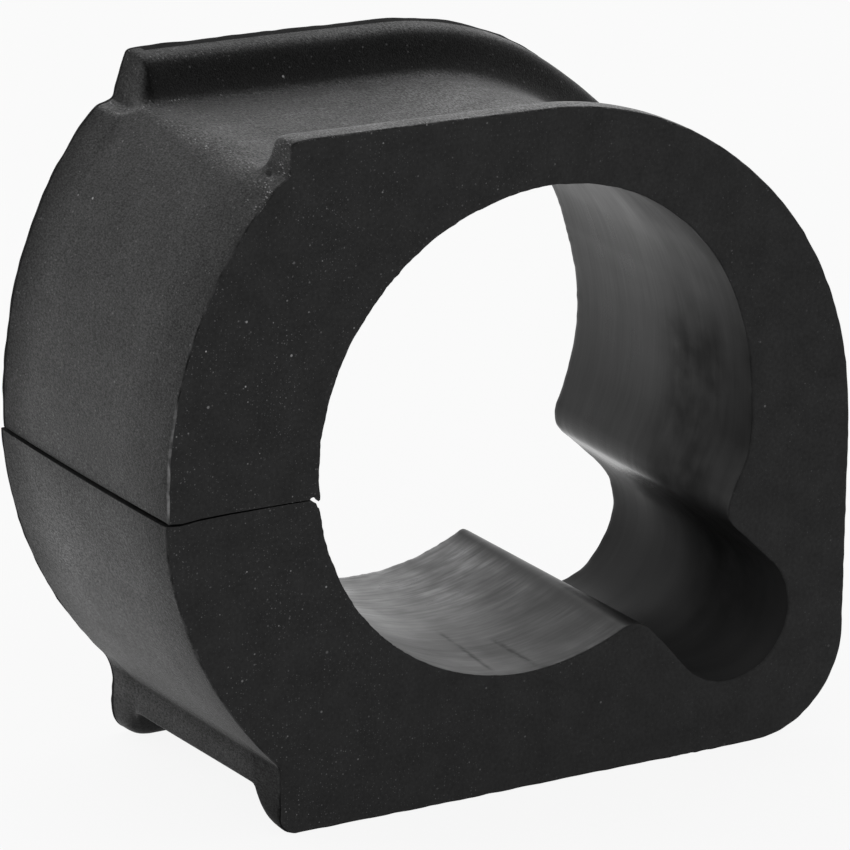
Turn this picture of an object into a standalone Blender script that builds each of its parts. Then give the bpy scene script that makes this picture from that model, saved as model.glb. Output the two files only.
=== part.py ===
"""Split rubber bushing that holds a steering rack housing in its bracket.

One moulded block: round on the split side, flat on the base and the upright
side, with a flange at each end and the bracket's groove between them. The bore
runs along Y and carries a rounded relief notch towards the lower corner.
Metres, +Z up, resting on its base, front end towards -Y.
"""

import math

import bmesh
import bpy

# Bore and length along it
BORE_RADIUS = 0.0230
LENGTH = 0.0293

# Walls from the bore to the outside of the flanges
WALL_BASE = 0.01095
WALL_SIDE = 0.0107
WALL_TOP = 0.0073
WALL_ROUND = 0.0158

# Outline of the block
ROUND_SHIFT_X = 0.0004
ROUND_SHIFT_Z = 0.0011
TOP_FALL = math.radians(2.4)
SHOULDER_RADIUS = 0.0354
CORNER_RADIUS = 0.0092
UPPER_FILLET = 0.0034
LOWER_STEP = 0.0029
STEP_FILLET = 0.0012
FLANGE_TOP_ROUND = 0.0008
FLANGE_BASE_ROUND = 0.0016

# Flanges and the bracket groove between them
FLANGE_HEIGHT = 0.0036
FLANGE_ROOT = 0.0043
FLANGE_LEAN = math.radians(28.0)
TIP_ROUND = 0.0012
ROOT_FILLET = 0.0011

# Relief notch off the bore
NOTCH_RADIUS = 0.00625
NOTCH_WALL_SIDE = 0.0023
NOTCH_WALL_BASE = 0.0028
RIDGE_FILLET = 0.0027

# Slit through the round side, a knife cut along the bore
SLIT_GAP = 0.00035
SLIT_BELOW_AXIS = 0.0026

# Facet size on arcs, and how far a cutter runs past what it cuts
ARC_STEP = math.radians(3.0)
FILLET_STEP = math.radians(18.0)
OVERRUN = 0.0050

# Places that follow from the sizes, with the bore axis at X 0 and Z 0
BASE_Z = -(BORE_RADIUS + WALL_BASE)
SIDE_X = BORE_RADIUS + WALL_SIDE
ROUND_RADIUS = BORE_RADIUS + WALL_ROUND
REACH = ROUND_RADIUS + abs(ROUND_SHIFT_X) + OVERRUN


def arc(centre, radius, start, end, step):
    """Points along an arc in X and Z, both ends included."""
    count = max(2, math.ceil(abs(end - start) / step - 1e-9))
    points = []
    for i in range(count + 1):
        angle = start + (end - start) * i / count
        points.append((centre[0] + radius * math.cos(angle), centre[1] + radius * math.sin(angle)))
    return points


def top_height(x, depth):
    """Height of the sloping top at x, or of the line that far below it."""
    rise = BORE_RADIUS + WALL_TOP - x * math.tan(TOP_FALL)
    return rise - depth / math.cos(TOP_FALL)


def shoulder():
    """Centre and end angle of the arc that joins the upright side to the top."""
    x = SIDE_X - SHOULDER_RADIUS
    z = top_height(x, SHOULDER_RADIUS)
    return (x, z), math.pi / 2 - TOP_FALL


def upper_fillet():
    """Centre of the fillet between the round side and the groove floor at the top."""
    # Its distance from the round side's centre and from the floor are both known.
    distance = ROUND_RADIUS - UPPER_FILLET
    slope = -math.tan(TOP_FALL)
    level = top_height(0.0, FLANGE_HEIGHT + UPPER_FILLET) - ROUND_SHIFT_Z
    a = 1.0 + slope ** 2
    b = slope * level - ROUND_SHIFT_X
    c = ROUND_SHIFT_X ** 2 + level ** 2 - distance ** 2
    x = (-b - math.sqrt(b ** 2 - a * c)) / a
    return x, top_height(x, FLANGE_HEIGHT + UPPER_FILLET)


def step_x():
    """Where the round side ends over the upright step above the base flanges."""
    height = BASE_Z + FLANGE_HEIGHT + LOWER_STEP - ROUND_SHIFT_Z
    return ROUND_SHIFT_X - math.sqrt(ROUND_RADIUS ** 2 - height ** 2)


def angle_from_round(point):
    """Direction of a point from the round side's centre, from 0 to a full turn."""
    return math.atan2(point[1] - ROUND_SHIFT_Z, point[0] - ROUND_SHIFT_X) % (2 * math.pi)


def corner_arc():
    """The rounded corner between the upright side and the base, from the side down."""
    centre = (SIDE_X - CORNER_RADIUS, BASE_Z + CORNER_RADIUS)
    return centre, CORNER_RADIUS, 0.0, -math.pi / 2, ARC_STEP * 2


def shoulder_arc():
    """The big arc from the top round to the upright side."""
    centre, start = shoulder()
    return centre, SHOULDER_RADIUS, start, 0.0, ARC_STEP


def round_side():
    """The outline where no flange runs, from the groove floor at the top to the one at the base."""
    upper = upper_fillet()
    start = angle_from_round(upper)
    points = arc(upper, UPPER_FILLET, math.pi / 2 - TOP_FALL, start, FILLET_STEP)

    # The hollow below the round side touches it and the upright step.
    hollow_x = step_x() - STEP_FILLET
    drop = math.sqrt((ROUND_RADIUS + STEP_FILLET) ** 2 - (hollow_x - ROUND_SHIFT_X) ** 2)
    hollow = (hollow_x, ROUND_SHIFT_Z - drop)
    end = angle_from_round(hollow)
    centre = (ROUND_SHIFT_X, ROUND_SHIFT_Z)
    points += arc(centre, ROUND_RADIUS, start, end, ARC_STEP)[1:]
    points += arc(hollow, STEP_FILLET, end - math.pi, 0.0, FILLET_STEP)[1:]
    points.append((step_x(), BASE_Z + FLANGE_HEIGHT))
    return points


def flange_stations():
    """Places along the flange tips, with the outward normal and how far the end is rounded away."""
    top = (math.sin(TOP_FALL), math.cos(TOP_FALL))
    floor_x, floor_z = round_side()[0]
    first = (floor_x + top[0] * FLANGE_HEIGHT, floor_z + top[1] * FLANGE_HEIGHT)
    stations = []
    for along, up in arc((FLANGE_TOP_ROUND, 0.0), FLANGE_TOP_ROUND, math.pi, math.pi / 2, FILLET_STEP):
        place = (first[0] + top[1] * along, first[1] - top[0] * along)
        stations.append((place, top, up - FLANGE_TOP_ROUND))
    for sweep in (shoulder_arc(), corner_arc()):
        centre, radius = sweep[:2]
        for x, z in arc(*sweep):
            normal = ((x - centre[0]) / radius, (z - centre[1]) / radius)
            stations.append(((x, z), normal, 0.0))
    for along, up in arc((FLANGE_BASE_ROUND, 0.0), FLANGE_BASE_ROUND, math.pi / 2, math.pi, FILLET_STEP):
        stations.append(((step_x() + along, BASE_Z), (0.0, -1.0), up - FLANGE_BASE_ROUND))
    return stations


def keyhole():
    """The bore with its relief notch, whose two ridges are rounded."""
    centre_x = SIDE_X - FLANGE_HEIGHT - NOTCH_WALL_SIDE - NOTCH_RADIUS
    centre_z = BASE_Z + FLANGE_HEIGHT + NOTCH_WALL_BASE + NOTCH_RADIUS
    aim = math.atan2(centre_z, centre_x)
    ridge_v = NOTCH_RADIUS + RIDGE_FILLET
    ridge_u = math.sqrt((BORE_RADIUS + RIDGE_FILLET) ** 2 - ridge_v ** 2)
    opening = math.atan2(ridge_v, ridge_u)

    # Drawn with the notch along +X, then turned towards the corner
    half = math.pi / 2
    drawn = arc((0.0, 0.0), BORE_RADIUS, opening, 2 * math.pi - opening, ARC_STEP)
    drawn += arc((ridge_u, -ridge_v), RIDGE_FILLET, math.pi - opening, half, FILLET_STEP)[1:]
    drawn += arc((math.hypot(centre_x, centre_z), 0.0), NOTCH_RADIUS, -half, half, ARC_STEP * 3)
    drawn += arc((ridge_u, ridge_v), RIDGE_FILLET, -half, opening - math.pi, FILLET_STEP)[:-1]
    turned = []
    for x, z in drawn:
        turned.append((x * math.cos(aim) - z * math.sin(aim), x * math.sin(aim) + z * math.cos(aim)))
    return turned


def rounded(before, corner, after, radius):
    """The arc that rounds a corner between two straight runs."""
    into = math.atan2(corner[1] - before[1], corner[0] - before[0])
    out = math.atan2(after[1] - corner[1], after[0] - corner[0])
    turn = (out - into + math.pi) % (2 * math.pi) - math.pi
    side = math.copysign(1.0, turn)
    back = radius * math.tan(abs(turn) / 2)
    start = (corner[0] - back * math.cos(into), corner[1] - back * math.sin(into))
    centre = (start[0] - side * radius * math.sin(into), start[1] + side * radius * math.cos(into))
    first = math.atan2(start[1] - centre[1], start[0] - centre[0])
    return arc(centre, radius, first, first + turn, FILLET_STEP)


def flange_section():
    """The front flange's section: place along the bore, and height over the flange tips."""
    face = (-LENGTH / 2, 0.0)
    root = (FLANGE_ROOT - LENGTH / 2, -FLANGE_HEIGHT)
    tip = (root[0] - FLANGE_HEIGHT * math.tan(FLANGE_LEAN), 0.0)
    half = [face]
    half += rounded(face, tip, root, TIP_ROUND)
    half += rounded(tip, root, (0.0, -FLANGE_HEIGHT), ROOT_FILLET)
    return half


def finish(mesh, name):
    """Turn a bmesh into an object that stands with its base at Z 0, centred in X."""
    bmesh.ops.recalc_face_normals(mesh, faces=mesh.faces)
    data = bpy.data.meshes.new(name)
    mesh.to_mesh(data)
    mesh.free()
    data.shade_smooth()
    data.set_sharp_from_angle(angle=math.radians(30.0))
    thing = bpy.data.objects.new(name, data)
    thing.location = (-(SIDE_X + ROUND_SHIFT_X - ROUND_RADIUS) / 2, 0.0, -BASE_Z)
    bpy.context.scene.collection.objects.link(thing)
    return thing


def prism(name, points, half_length):
    """A profile in X and Z, extruded along Y to both sides of the middle."""
    mesh = bmesh.new()
    front = [mesh.verts.new((x, -half_length, z)) for x, z in points]
    face = mesh.faces.new(front)
    made = bmesh.ops.extrude_face_region(mesh, geom=[face])
    moved = [item for item in made["geom"] if isinstance(item, bmesh.types.BMVert)]
    bmesh.ops.translate(mesh, verts=moved, vec=(0.0, 2 * half_length, 0.0))
    return finish(mesh, name)


def block():
    """The solid block: flanges swept from the top round to the base, and the plain round side."""
    half = flange_section()
    section = half + [(-y, height) for y, height in half[::-1]]
    mesh = bmesh.new()
    rows = []
    for (x, z), (nx, nz), limit in flange_stations():
        row = []
        for y, height in section:
            lift = min(height, limit)
            row.append(mesh.verts.new((x + nx * lift, y, z + nz * lift)))
        rows.append(row)
    side = []
    for x, z in round_side():
        side.append([mesh.verts.new((x, y, z)) for y in (-LENGTH / 2, LENGTH / 2)])

    # Outer skin of the flanges and the groove
    for one, two in zip(rows, rows[1:]):
        for i in range(len(section) - 1):
            mesh.faces.new((one[i], one[i + 1], two[i + 1], two[i]))

    # Each flange ends in a wall that stands on the end of the round side.
    floor = len(half) - 1
    for row, (front, back) in ((rows[0], side[0]), (rows[-1], side[-1])):
        mesh.faces.new([front] + row[: floor + 1])
        mesh.faces.new([back] + row[: floor : -1])

    # The round side meets the groove floor between those walls.
    mesh.faces.new((side[0][0], rows[0][floor], rows[0][floor + 1], side[0][1], side[1][1], side[1][0]))
    mesh.faces.new((side[-1][0], rows[-1][floor], rows[-1][floor + 1], side[-1][1], side[-2][1], side[-2][0]))
    for one, two in zip(side[1:-2], side[2:-1]):
        mesh.faces.new((one[0], one[1], two[1], two[0]))

    # Front and back faces
    mesh.faces.new([pair[0] for pair in side] + [row[0] for row in rows[::-1]])
    mesh.faces.new([pair[1] for pair in side] + [row[-1] for row in rows[::-1]])
    return finish(mesh, "rack_bushing")


def slit():
    """A thin slab from outside the round side into the bore."""
    half = SLIT_GAP / 2
    inner = -BORE_RADIUS / 2
    points = [(-REACH, -half), (inner, -half), (inner, half), (-REACH, half)]
    thing = prism("slit_cutter", points, LENGTH / 2 + OVERRUN)
    thing.location.z -= SLIT_BELOW_AXIS
    return thing


def cut(body, cutter):
    """Take a cutter out of the body, and keep it as a guide only."""
    modifier = body.modifiers.new(cutter.name, "BOOLEAN")
    modifier.operation = "DIFFERENCE"
    modifier.solver = "EXACT"
    modifier.object = cutter
    cutter.hide_render = True
    cutter.display_type = "WIRE"


def rubber():
    """Black moulded rubber."""
    material = bpy.data.materials.new("black_rubber")
    material.use_nodes = True
    shader = material.node_tree.nodes["Principled BSDF"]
    shader.inputs["Base Color"].default_value = (0.022, 0.022, 0.023, 1.0)
    shader.inputs["Roughness"].default_value = 0.62
    shader.inputs["Metallic"].default_value = 0.0
    return material


def main():
    for thing in list(bpy.data.objects):
        bpy.data.objects.remove(thing)
    body = block()
    body.data.materials.append(rubber())
    cut(body, prism("bore_cutter", keyhole(), LENGTH / 2 + OVERRUN))
    cut(body, slit())


main()
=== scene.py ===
"""Looks of the split rubber bushing: one fine mesh that stands for the CAD solid, its rubber, and the studio."""

import math

import bmesh
import bpy
import numpy as np
from mathutils import Matrix, Vector


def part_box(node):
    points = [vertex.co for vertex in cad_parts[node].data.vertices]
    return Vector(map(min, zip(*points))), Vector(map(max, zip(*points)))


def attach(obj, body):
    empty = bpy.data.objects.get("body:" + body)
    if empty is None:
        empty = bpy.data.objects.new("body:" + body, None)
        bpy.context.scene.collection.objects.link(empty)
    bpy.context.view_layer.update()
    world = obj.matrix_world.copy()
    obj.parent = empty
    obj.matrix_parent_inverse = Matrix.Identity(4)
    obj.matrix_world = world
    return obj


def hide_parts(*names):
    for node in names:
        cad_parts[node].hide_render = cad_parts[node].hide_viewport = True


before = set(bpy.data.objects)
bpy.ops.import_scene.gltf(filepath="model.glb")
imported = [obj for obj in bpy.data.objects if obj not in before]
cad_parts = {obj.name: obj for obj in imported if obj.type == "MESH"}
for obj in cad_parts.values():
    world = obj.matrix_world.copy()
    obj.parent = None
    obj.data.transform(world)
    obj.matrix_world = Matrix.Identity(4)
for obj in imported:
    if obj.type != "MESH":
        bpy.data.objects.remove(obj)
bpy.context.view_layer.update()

NODE = "rack_bushing"
MM = 0.001

# The shape is drawn in millimetres, with the bore axis at X 0 and Z 0 and the front face at Y 0.
LENGTH = 29.3
BORE_FROM_LEFT = 38.4
BORE_ABOVE_BASE = 33.95
BASE_Z = -34.05
ROUND_CENTRE, ROUND_RADIUS = (0.4, 1.1), 38.8
SHOULDER_CENTRE, SHOULDER_RADIUS = (-1.7, -5.06), 35.4
CORNER_CENTRE = (24.5, -24.75)
BORE_RADIUS = 23.0
FLANGE_HEIGHT = 3.6
TOP_FALL = math.radians(2.4)
SHOULDER_TURN = np.linspace(87.6, 0, 160)
CORNER_TURN = np.linspace(0, -90, 60)

# A place on the outline is the number of a run plus a share of it. The round side above the slit is run 0.
STEP, TOP, SHOULDER, SIDE, CORNER, BASE, FOOT, HOLLOW, BELOW, END = range(1, 11)
# On the keyhole the bore above the slit is run 0, and the bore below it is the last one.
RIDGE, NOTCH, NOTCH_END, NOTCH_FLOOR, LOWER_RIDGE, BORE_BELOW, BORE_END = range(1, 8)

# The knife cut, as heights at the outside and at the bore, front and back
SLIT_OUTSIDE = (-2.52, -2.50)
SLIT_BORE = (-2.53, -2.60)
# How far it bows down halfway along, how wide it gapes at some depths, and how far from it both fade
SLIT_BOW = -0.20
BOW_REACH, GAPE_REACH = 3.0, 0.7
GAPE_DEPTHS = (0, 0.1, 0.7, 11, 20, 29.3)
GAPE_OUTSIDE = (0.12, 0.20, 0.34, 0.29, 0.19, 0.10)
GAPE_BORE = 0.05

# How the cut edges round off, as shares of EDGE: how much of the edge's waves, how far in, and how deep
EDGE = 0.13
EDGE_ROUND = ((1.0, 1.0, 0.0), (0.9, 0.29, 0.29), (0.6, 0.0, 1.0))
# How far in from an edge the end faces' rows start, and how wide the dark rim of painted shade is at the back
EDGE_INSIDE = 2.4 * EDGE
BACK_RIM = 1.9

# A small pit in the skin beside the step of the front flange
PIT_PLACE = (-27.2, 2.4, 27.53)
PIT_INWARD = np.array([0.61, -0.15, -0.78])
PIT_REACH, PIT_DEPTH = 0.26, 0.24

low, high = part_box(NODE)
PLACE = np.array([low.x / MM + BORE_FROM_LEFT, low.y / MM, low.z / MM + BORE_ABOVE_BASE])


def polar(centre, radius, degrees):
    """Points round a centre, for one radius or one for each angle."""
    turn = np.radians(degrees)
    return np.stack([centre[0] + radius * np.cos(turn), centre[1] + radius * np.sin(turn)], -1)


def along(points, share):
    """Places at these shares of a polyline's length."""
    points = np.asarray(points, float)
    reach = np.concatenate([[0.0], np.cumsum(np.hypot(*np.diff(points, axis=0).T))])
    want = share * reach[-1]
    return np.stack([np.interp(want, reach, points[:, 0]), np.interp(want, reach, points[:, 1])], -1)


def trace(segments, place):
    """Points on a chain of polylines. A place is a segment's number plus a share of its length."""
    index = np.minimum(place.astype(int), len(segments) - 1)
    points = np.zeros((len(place), 2))
    for number, segment in enumerate(segments):
        chosen = index == number
        points[chosen] = along(segment, place[chosen] - number)
    return points


def eased(values, rounds):
    """Values along the stations with small kinks rounded off, the ends kept."""
    values = values.copy()
    for _ in range(rounds):
        values[1:-1] = (values[:-2] + 2 * values[1:-1] + values[2:]) / 4
    return values


def smooth_path(points, count):
    """An even polyline through these points, with their corners rounded."""
    path = along(points, np.linspace(0, 1, count))
    for _ in range(14):
        path[1:-1] = (path[:-2] + 2 * path[1:-1] + path[2:]) / 4
    return path


def line(start, end):
    """A straight run."""
    return np.array([start, end], float)


def swept(centre, start, end, angles, radii):
    """An arc whose radius is given at some angles."""
    turn = np.linspace(start, end, 120)
    return polar(centre, np.interp(turn, angles, radii), turn)


def slit_angle(centre, radius, height):
    """Where on a circle the cut's height is, in degrees."""
    return 180.0 + math.degrees(math.asin((centre[1] - height) / radius))


def bearing(point):
    """Where a point lies from the round side's centre, in degrees."""
    return math.degrees(math.atan2(point[1] - ROUND_CENTRE[1], point[0] - ROUND_CENTRE[0]))


def outline(back):
    """The outline of the flange tips on the front or back face, from the slit over the top and round to the slit."""
    cut = slit_angle(ROUND_CENTRE, ROUND_RADIUS, SLIT_OUTSIDE[1 if back else 0])
    if back:
        upper = ((138.8, 143, 150, 156, 166, 172, 190), (38.88, 39.12, 39.15, 39.0, 38.87, 38.62, 38.62))
        lower = ((180, 189, 206, 216, 222), (38.96, 38.96, 38.89, 38.79, 38.79))
        step = [(-28.78, 26.61), (-28.3, 26.63), (-27.42, 27.0), (-27.22, 27.7)]
        step += [(-26.21, 31.12), (-26.06, 31.28), (-25.6, 31.36), (-24.6, 31.34)]
        foot = [(-23.3, BASE_Z), (-24.2, -33.93), (-24.9, -33.7), (-25.36, -33.42), (-25.76, -33.05), (-26.08, -32.5)]
        foot += [(-26.26, -31.64), (-26.34, -30.85), (-26.27, -28.5)]
        hollow = [(-26.27, -28.5), (-26.5, -27.5), (-27.06, -26.26), (-27.9, -25.4), (-28.81, -24.45)]
        shoulder = (35.4, 35.17, 35.03, 35.05, 35.18, 35.34, 35.47, 35.50, 35.52)
        shoulder = ((0, 40, 48, 53, 58, 62, 68, 77, 88), shoulder)
        top = (-12.0, 30.93)
        side, corner_radius = 33.7, 9.3
    else:
        upper = ((138.8, 143, 149, 170, 190), (38.42, 38.56, 38.68, 38.68, 38.70))
        lower = (180, 185.6, 186.1, 189, 193, 200, 206, 212, 220, 226)
        lower = (lower, (38.86, 38.90, 39.08, 39.17, 39.17, 39.05, 39.04, 38.96, 38.92, 38.96))
        step = [(-28.52, 26.10), (-28.42, 26.50), (-28.30, 26.74), (-27.26, 27.51), (-26.72, 27.80)]
        step += [(-26.60, 28.10), (-26.57, 29.46), (-26.54, 30.35), (-26.45, 30.74), (-26.28, 30.93)]
        step += [(-25.9, 31.04), (-24.8, 31.10)]
        foot = [(-23.6, BASE_Z), (-24.3, -34.04), (-25.16, -33.83), (-25.86, -33.27), (-26.08, -32.6)]
        foot += [(-26.1, -31.9), (-26.1, -31.0), (-26.13, -28.1)]
        hollow = [(-26.13, -28.1), (-26.17, -27.7), (-26.30, -27.35), (-26.77, -26.77)]
        shoulder = (35.46, 35.46, 35.54, 35.53, 35.53, 35.52, 35.44, 35.44, 35.36)
        shoulder = ((0, 12, 18, 24, 30, 40, 50, 70, 88), shoulder)
        top = (-12.0, 30.70)
        side, corner_radius = 33.95, 9.45
    turn = polar(SHOULDER_CENTRE, np.interp(SHOULDER_TURN, *shoulder), SHOULDER_TURN)
    radii = np.interp(CORNER_TURN, (-90, -45, 0), (9.3, corner_radius - 0.1, corner_radius))
    corner = polar(CORNER_CENTRE, radii, CORNER_TURN)
    corner[:, 0] = np.minimum(corner[:, 0], side)
    corner[:, 1] = np.maximum(corner[:, 1], BASE_Z)
    return [
        swept(ROUND_CENTRE, cut, bearing(step[0]), *upper),
        np.array(step),
        np.array([step[-1], top, turn[0]]),
        turn,
        line(turn[-1], (side, CORNER_CENTRE[1])),
        corner,
        line(corner[-1], foot[0]),
        np.array(foot),
        np.array(hollow),
        swept(ROUND_CENTRE, bearing(hollow[-1]) % 360, cut, *lower),
    ]


def groove(fillet, drop):
    """The outline between the flanges: the round side, which rolls over a fillet onto the groove floor."""
    radius = 38.78
    floor = 26.66
    slope = math.tan(TOP_FALL)
    level = floor - fillet / math.cos(TOP_FALL)
    # The fillet's centre is its radius under the floor and its radius inside the round side.
    x = -20.0
    for _ in range(60):
        z = level - slope * x
        x = ROUND_CENTRE[0] - math.sqrt((radius - fillet) ** 2 - (z - ROUND_CENTRE[1]) ** 2)
    centre = (x, level - slope * x)
    start = bearing(centre)
    fillet_arc = polar(centre, fillet, np.linspace(start, 90 - math.degrees(TOP_FALL), 24))
    cut = slit_angle(ROUND_CENTRE, ROUND_RADIUS, sum(SLIT_OUTSIDE) / 2)
    first = fillet_arc[-1]
    on = (first[0] + 1.4, first[1] - 1.4 * slope)
    turn = polar(SHOULDER_CENTRE, SHOULDER_RADIUS - FLANGE_HEIGHT, SHOULDER_TURN)
    turn[:, 1] += (floor + slope * 0.2 - turn[0, 1]) * np.linspace(1, 0, len(turn))
    side = SHOULDER_CENTRE[0] + SHOULDER_RADIUS - FLANGE_HEIGHT
    base = BASE_Z + FLANGE_HEIGHT - drop
    last = (-27.1, -26.4)
    reach = math.hypot(last[1] - ROUND_CENTRE[1], last[0] - ROUND_CENTRE[0])
    return [
        swept(ROUND_CENTRE, cut, start, (0, 360), (radius, radius)),
        np.concatenate([fillet_arc, [on]]),
        line(on, turn[0]),
        turn,
        line((side, turn[-1][1]), (side, CORNER_CENTRE[1])),
        polar(CORNER_CENTRE, 9.25 - FLANGE_HEIGHT, CORNER_TURN),
        line((CORNER_CENTRE[0], base), (-25.9, base)),
        np.array([(-25.9, base), (-26.14, base + 0.04), (-26.26, base + 0.2), (-26.27, -28.3)]),
        np.array([(-26.25, -28.3), (-26.33, -27.5), (-26.75, -26.85), last]),
        swept(ROUND_CENTRE, bearing(last) % 360, cut, (180, 186, 218, 226), (radius + 0.02, 39.0, 38.87, reach)),
    ]


def keyhole(back):
    """The bore and its relief notch on the front or back face, in the outline's direction."""
    diagonal = math.sqrt(0.5)

    def turned(points):
        """From the notch's own frame, whose first axis runs out along the notch."""
        points = np.asarray(points, float)
        return np.stack([(points[:, 0] + points[:, 1]), (points[:, 1] - points[:, 0])], -1) * diagonal

    def ridge_arc(side, wall, mean, ridge):
        """The rounded ridge between the bore and a side of the notch, from the bore."""
        ridge_v = wall + ridge
        ridge_u = math.sqrt((mean + ridge) ** 2 - ridge_v ** 2)
        opening = math.degrees(math.atan2(ridge_v, ridge_u))
        points = polar((ridge_u, ridge_v), ridge, np.linspace(180 + opening, 270, 20))
        points[:, 1] *= side
        return points, opening

    if back:
        radii = ((-25, 0, 12, 20, 30, 60, 180, 189), (23.2, 22.92, 22.65, 22.62, 22.9, 23.0, 23.0, 23.0))
        below = ((-172, -92, -60), (23.0, 23.22, 23.3))
        upper, opening_up = ridge_arc(1, 6.35, 23.3, 2.7)
        lower, opening_down = ridge_arc(-1, 6.45, 23.2, 1.1)
        # The end of the notch as it was measured, a little flat above and fuller below
        end = [(29.2, 6.62), (31.5, 6.56), (32.9, 5.95), (34.03, 5.18), (34.95, 4.1), (35.8, 2.41), (36.2, 0.8)]
        end += [(36.27, -0.5), (36.2, -1.84), (35.72, -3.15), (35.05, -4.2), (34.1, -5.2), (32.8, -6.0)]
        end += [(31.2, -6.42), (29.6, -6.5)]
        end = turned(smooth_path(end, 90))
    else:
        angles = (-25, -22.3, -19.5, -14.7, -8, -2.6, 4, 20, 32, 75, 84, 96, 102, 110, 120, 150, 172, 184, 187)
        radii = (23.5, 23.36, 23.52, 23.7, 23.42, 23.12, 22.95, 22.88, 22.98, 23.07, 23.02, 22.95, 22.84, 22.87)
        radii += (22.82, 22.80, 22.79, 22.70, 22.70)
        radii = (angles, radii)
        below = (-172, -168, -160, -155, -150, -144, -132, -120, -92, -76, -60)
        below = (below, (22.87, 22.88, 22.91, 22.92, 22.96, 22.99, 22.99, 22.96, 23.0, 22.85, 22.85))
        upper, opening_up = ridge_arc(1, 6.3, 23.3, 2.7)
        lower, opening_down = ridge_arc(-1, 5.75, 23.1, 2.7)
        centre = (21.61, -21.35)
        u, v = (centre[0] - centre[1]) * diagonal, (centre[0] + centre[1]) * diagonal
        end = turned(polar((u, v), 6.28, np.linspace(88, -86, 90)))

    cut = slit_angle((0, 0), BORE_RADIUS, SLIT_BORE[1 if back else 0])
    segments = [swept((0, 0), cut, opening_up - 45, *radii)]
    upper = turned(upper)
    upper += (segments[0][-1] - upper[0]) * np.linspace(1, 0, len(upper))[:, None]
    segments.append(upper)
    segments.append(line(upper[-1], end[0]))
    segments.append(end)
    lower = turned(lower[::-1])
    segments.append(line(end[-1], lower[0]))
    rest = swept((0, 0), -opening_down - 45, cut - 360, *below)
    lower += (rest[0] - lower[-1]) * np.linspace(0, 1, len(lower))[:, None]
    segments.append(lower)
    segments.append(rest)
    return segments


def share(segment, angle):
    """The share of an arc's length at which it passes an angle from the bore axis."""
    turn = np.degrees(np.unwrap(np.arctan2(segment[:, 1], segment[:, 0])))
    reach = np.concatenate([[0.0], np.cumsum(np.hypot(*np.diff(segment, axis=0).T))])
    return float(np.interp(-angle, -turn, reach / reach[-1]))


def stations():
    """The stations of the sweep, as places on the outline and on the keyhole."""
    bore = keyhole(False)
    first = bore[0]

    def at(angle):
        """Where the bore above the slit passes an angle."""
        # The first arc starts just past half a turn, which arctan2 gives as a negative angle.
        turn = angle - 360 if np.arctan2(first[0][1], first[0][0]) < 0 else angle
        return share(first, turn)

    low = [BORE_BELOW + share(bore[BORE_BELOW], angle) for angle in (-125.0, -132.5, -135.0)]
    # How many stations come before each of these places on the outline and on the keyhole
    ends = [(0, 0.0, 0.0), (120, STEP, at(137)), (40, TOP, at(129.5)), (100, SHOULDER, at(90.5)), (205, SIDE, at(-8))]
    ends += [(32, SIDE + 0.4, RIDGE), (18, SIDE + 0.62, NOTCH), (20, SIDE + 0.8, NOTCH_END)]
    ends += [(18, CORNER, NOTCH_END + 0.2), (64, BASE, NOTCH_END + 0.8)]
    ends += [(18, BASE + 0.09, NOTCH_FLOOR), (20, BASE + 0.14, LOWER_RIDGE)]
    ends += [(18, BASE + 0.19, BORE_BELOW), (150, FOOT, low[0]), (44, HOLLOW, low[1]), (14, BELOW, low[2])]
    ends.append((125, END, BORE_END))
    outer, inner = [], []
    for (_, a, c), (count, b, d) in zip(ends, ends[1:]):
        step = np.arange(count) / count
        outer.append(a + (b - a) * step)
        inner.append(c + (d - c) * step)
    return np.append(np.concatenate(outer), END), np.append(np.concatenate(inner), BORE_END)


def normals(points):
    """Outward normals of a curve that runs clockwise as seen from the front."""
    step = np.gradient(points, axis=0)
    step = eased(step, 2)
    step /= np.hypot(step[:, 0], step[:, 1])[:, None]
    return np.stack([-step[:, 1], step[:, 0]], -1)


def ripple(count, spacing, seed, reach):
    """Smooth random values along the stations, about -reach to reach."""
    draw = np.random.default_rng(seed)
    knots = np.arange(-1, count / spacing + 3) * spacing
    values = draw.uniform(-reach, reach, len(knots))
    return eased(np.interp(np.arange(count), knots, values), 1)


# The flange's section, as places from the end face and shares of the flange's height
TIP_TOP = [(0.3, 1.0), (0.9, 1.0), (1.6, 0.99), (2.15, 0.965), (2.55, 0.925), (2.85, 0.87), (3.1, 0.79)]
TIP_TOP += [(3.3, 0.68), (3.47, 0.56), (3.64, 0.43), (3.82, 0.29), (4.05, 0.16), (4.4, 0.06), (5.3, 0.0)]
TIP_BASE = [(0.3, 1.0), (0.8, 0.985), (1.45, 0.96), (2.05, 0.91), (2.55, 0.84), (2.95, 0.75), (3.3, 0.65)]
TIP_BASE += [(3.58, 0.53), (3.84, 0.40), (4.05, 0.255), (4.22, 0.12), (4.38, 0.035), (4.58, 0.005), (4.95, 0.0)]
TIP_BACK = [(0.45, 1.0), (1.3, 1.0), (2.2, 0.995), (2.9, 0.975), (3.3, 0.935), (3.65, 0.875), (3.95, 0.79)]
TIP_BACK += [(4.2, 0.68), (4.45, 0.55), (4.7, 0.42), (5.0, 0.28), (5.35, 0.15), (5.8, 0.05), (6.5, 0.0)]
TIP_BASE_BACK = [(0.45, 1.0), (0.9, 1.0), (1.5, 0.995), (2.0, 0.975), (2.35, 0.92), (2.65, 0.83), (2.9, 0.72)]
TIP_BASE_BACK += [(3.15, 0.60), (3.4, 0.46), (3.65, 0.32), (3.9, 0.19), (4.2, 0.08), (4.6, 0.015), (5.2, 0.0)]
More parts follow.
